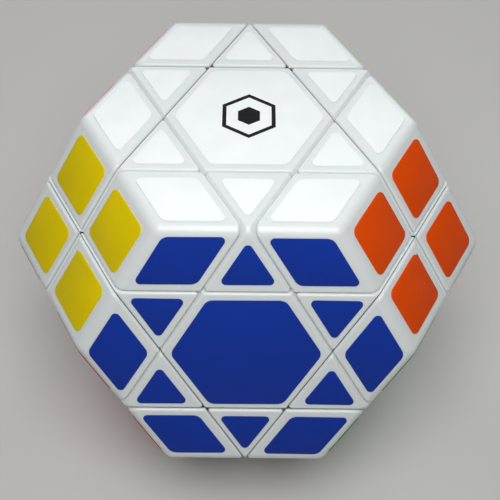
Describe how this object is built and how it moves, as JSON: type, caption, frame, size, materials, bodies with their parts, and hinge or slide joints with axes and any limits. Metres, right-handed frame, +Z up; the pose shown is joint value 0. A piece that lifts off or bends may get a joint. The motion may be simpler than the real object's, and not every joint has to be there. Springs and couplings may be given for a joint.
{
  "type": "twisty puzzle",
  "caption": "Truncated octahedron twisty puzzle with white plastic pieces; layers turn under its hexagon and square faces.",
  "frame": {"origin": "centre of the core ball, where all the turning axes meet", "axes": "+Z up through the white hexagon face, -Y towards the blue hexagon's side, +X to the orange square's side; the puzzle rests on the grey hexagon"},
  "size_m": [0.0742, 0.0718, 0.0612],
  "materials": {
    "white_plastic": "semi-gloss moulded",
    "core_plastic": "fine matt",
    "steel": "zinc plated",
    "white_vinyl": "satin film",
    "blue_vinyl": "satin film",
    "yellow_vinyl": "satin film",
    "orange_vinyl": "satin film",
    "red_vinyl": "satin film",
    "green_vinyl": "satin film",
    "purple_vinyl": "satin film",
    "pink_vinyl": "satin film",
    "lime_vinyl": "satin film",
    "grey_vinyl": "satin film",
    "sky_vinyl": "satin film",
    "brown_vinyl": "satin film",
    "teal_vinyl": "satin film",
    "black_vinyl": "satin film",
    "printed_mark": "printed ink"
  },
  "bodies": {
    "core_unit": {"core": "core_plastic", "screws": "steel", "springs": "steel", "washers": "steel", "blue_centre": "white_plastic", "blue_cap": "white_plastic", "pink_centre": "white_plastic", "pink_cap": "white_plastic", "lime_centre": "white_plastic", "lime_cap": "white_plastic", "grey_centre": "white_plastic", "grey_cap": "white_plastic"},
    "yellow_layer": {"yellow_axis_centre": "white_plastic", "yellow_triangles": "white_plastic"},
    "orange_layer": {"orange_axis_centre": "white_plastic", "orange_triangles": "white_plastic"},
    "sky_layer": {"sky_axis_centre": "white_plastic", "sky_triangles": "white_plastic"},
    "brown_layer": {"brown_axis_centre": "white_plastic", "brown_triangles": "white_plastic"},
    "teal_layer": {"teal_axis_centre": "white_plastic", "teal_triangles": "white_plastic"},
    "black_layer": {"black_axis_centre": "white_plastic", "black_triangles": "white_plastic"},
    "white_layer": {"white_centre": "white_plastic", "white_cap": "white_plastic", "white_edges": "white_plastic"},
    "white_yellow_group": {"white_yellow_corners": "white_plastic", "white_yellow_triangle": "white_plastic"},
    "white_orange_group": {"white_orange_corners": "white_plastic", "white_orange_triangle": "white_plastic"},
    "white_sky_group": {"white_sky_corners": "white_plastic", "white_sky_triangle": "white_plastic"},
    "red_layer": {"red_centre": "white_plastic", "red_cap": "white_plastic", "red_edges": "white_plastic"},
    "red_yellow_group": {"red_yellow_corners": "white_plastic", "red_yellow_triangle": "white_plastic"},
    "red_teal_group": {"red_teal_corners": "white_plastic", "red_teal_triangle": "white_plastic"},
    "red_black_group": {"red_black_corners": "white_plastic", "red_black_triangle": "white_plastic"},
    "green_layer": {"green_centre": "white_plastic", "green_cap": "white_plastic", "green_edges": "white_plastic"},
    "green_orange_group": {"green_orange_corners": "white_plastic", "green_orange_triangle": "white_plastic"},
    "green_brown_group": {"green_brown_corners": "white_plastic", "green_brown_triangle": "white_plastic"},
    "green_black_group": {"green_black_corners": "white_plastic", "green_black_triangle": "white_plastic"},
    "purple_layer": {"purple_centre": "white_plastic", "purple_cap": "white_plastic", "purple_edges": "white_plastic"},
    "purple_sky_group": {"purple_sky_corners": "white_plastic", "purple_sky_triangle": "white_plastic"},
    "purple_brown_group": {"purple_brown_corners": "white_plastic", "purple_brown_triangle": "white_plastic"},
    "purple_teal_group": {"purple_teal_corners": "white_plastic", "purple_teal_triangle": "white_plastic"}
  },
  "joints": [
    {"name": "yellow_turn", "type": "hinge", "parent": "core_unit", "child": "yellow_layer", "pos_m": [0, 0, 0], "axis": [-0.7071, -0.4082, 0.5774], "range_deg": [-360, 360]},
    {"name": "orange_turn", "type": "hinge", "parent": "core_unit", "child": "orange_layer", "pos_m": [0, 0, 0], "axis": [0.7071, -0.4082, 0.5774], "range_deg": [-360, 360]},
    {"name": "sky_turn", "type": "hinge", "parent": "core_unit", "child": "sky_layer", "pos_m": [0, 0, 0], "axis": [0, 0.8165, 0.5774], "range_deg": [-360, 360]},
    {"name": "brown_turn", "type": "hinge", "parent": "core_unit", "child": "brown_layer", "pos_m": [0, 0, 0], "axis": [0.7071, 0.4082, -0.5774], "range_deg": [-360, 360]},
    {"name": "teal_turn", "type": "hinge", "parent": "core_unit", "child": "teal_layer", "pos_m": [0, 0, 0], "axis": [-0.7071, 0.4082, -0.5774], "range_deg": [-360, 360]},
    {"name": "black_turn", "type": "hinge", "parent": "core_unit", "child": "black_layer", "pos_m": [0, 0, 0], "axis": [0, -0.8165, -0.5774], "range_deg": [-360, 360]},
    {"name": "white_turn", "type": "hinge", "parent": "core_unit", "child": "white_layer", "pos_m": [0, 0, 0], "axis": [0, 0, 1], "continuous": true},
    {"name": "white_yellow_follow", "type": "hinge", "parent": "white_layer", "child": "white_yellow_group", "pos_m": [0, 0, 0], "axis": [-0.7071, -0.4082, 0.5774], "range_deg": [-360, 360]},
    {"name": "white_orange_follow", "type": "hinge", "parent": "white_layer", "child": "white_orange_group", "pos_m": [0, 0, 0], "axis": [0.7071, -0.4082, 0.5774], "range_deg": [-360, 360]},
    {"name": "white_sky_follow", "type": "hinge", "parent": "white_layer", "child": "white_sky_group", "pos_m": [0, 0, 0], "axis": [0, 0.8165, 0.5774], "range_deg": [-360, 360]},
    {"name": "red_turn", "type": "hinge", "parent": "core_unit", "child": "red_layer", "pos_m": [0, 0, 0], "axis": [-0.8165, -0.4714, -0.3333], "continuous": true},
    {"name": "red_yellow_follow", "type": "hinge", "parent": "red_layer", "child": "red_yellow_group", "pos_m": [0, 0, 0], "axis": [-0.7071, -0.4082, 0.5774], "range_deg": [-360, 360]},
    {"name": "red_teal_follow", "type": "hinge", "parent": "red_layer", "child": "red_teal_group", "pos_m": [0, 0, 0], "axis": [-0.7071, 0.4082, -0.5774], "range_deg": [-360, 360]},
    {"name": "red_black_follow", "type": "hinge", "parent": "red_layer", "child": "red_black_group", "pos_m": [0, 0, 0], "axis": [0, -0.8165, -0.5774], "range_deg": [-360, 360]},
    {"name": "green_turn", "type": "hinge", "parent": "core_unit", "child": "green_layer", "pos_m": [0, 0, 0], "axis": [0.8165, -0.4714, -0.3333], "continuous": true},
    {"name": "green_orange_follow", "type": "hinge", "parent": "green_layer", "child": "green_orange_group", "pos_m": [0, 0, 0], "axis": [0.7071, -0.4082, 0.5774], "range_deg": [-360, 360]},
    {"name": "green_brown_follow", "type": "hinge", "parent": "green_layer", "child": "green_brown_group", "pos_m": [0, 0, 0], "axis": [0.7071, 0.4082, -0.5774], "range_deg": [-360, 360]},
    {"name": "green_black_follow", "type": "hinge", "parent": "green_layer", "child": "green_black_group", "pos_m": [0, 0, 0], "axis": [0, -0.8165, -0.5774], "range_deg": [-360, 360]},
    {"name": "purple_turn", "type": "hinge", "parent": "core_unit", "child": "purple_layer", "pos_m": [0, 0, 0], "axis": [0, 0.9428, -0.3333], "continuous": true},
    {"name": "purple_sky_follow", "type": "hinge", "parent": "purple_layer", "child": "purple_sky_group", "pos_m": [0, 0, 0], "axis": [0, 0.8165, 0.5774], "range_deg": [-360, 360]},
    {"name": "purple_brown_follow", "type": "hinge", "parent": "purple_layer", "child": "purple_brown_group", "pos_m": [0, 0, 0], "axis": [0.7071, 0.4082, -0.5774], "range_deg": [-360, 360]},
    {"name": "purple_teal_follow", "type": "hinge", "parent": "purple_layer", "child": "purple_teal_group", "pos_m": [0, 0, 0], "axis": [-0.7071, 0.4082, -0.5774], "range_deg": [-360, 360]}
  ],
  "couplings": [
    {"joint": "white_yellow_follow", "follows": "yellow_turn", "ratio": 1},
    {"joint": "white_orange_follow", "follows": "orange_turn", "ratio": 1},
    {"joint": "white_sky_follow", "follows": "sky_turn", "ratio": 1},
    {"joint": "red_yellow_follow", "follows": "yellow_turn", "ratio": 1},
    {"joint": "red_teal_follow", "follows": "teal_turn", "ratio": 1},
    {"joint": "red_black_follow", "follows": "black_turn", "ratio": 1},
    {"joint": "green_orange_follow", "follows": "orange_turn", "ratio": 1},
    {"joint": "green_brown_follow", "follows": "brown_turn", "ratio": 1},
    {"joint": "green_black_follow", "follows": "black_turn", "ratio": 1},
    {"joint": "purple_sky_follow", "follows": "sky_turn", "ratio": 1},
    {"joint": "purple_brown_follow", "follows": "brown_turn", "ratio": 1},
    {"joint": "purple_teal_follow", "follows": "teal_turn", "ratio": 1}
  ]
}
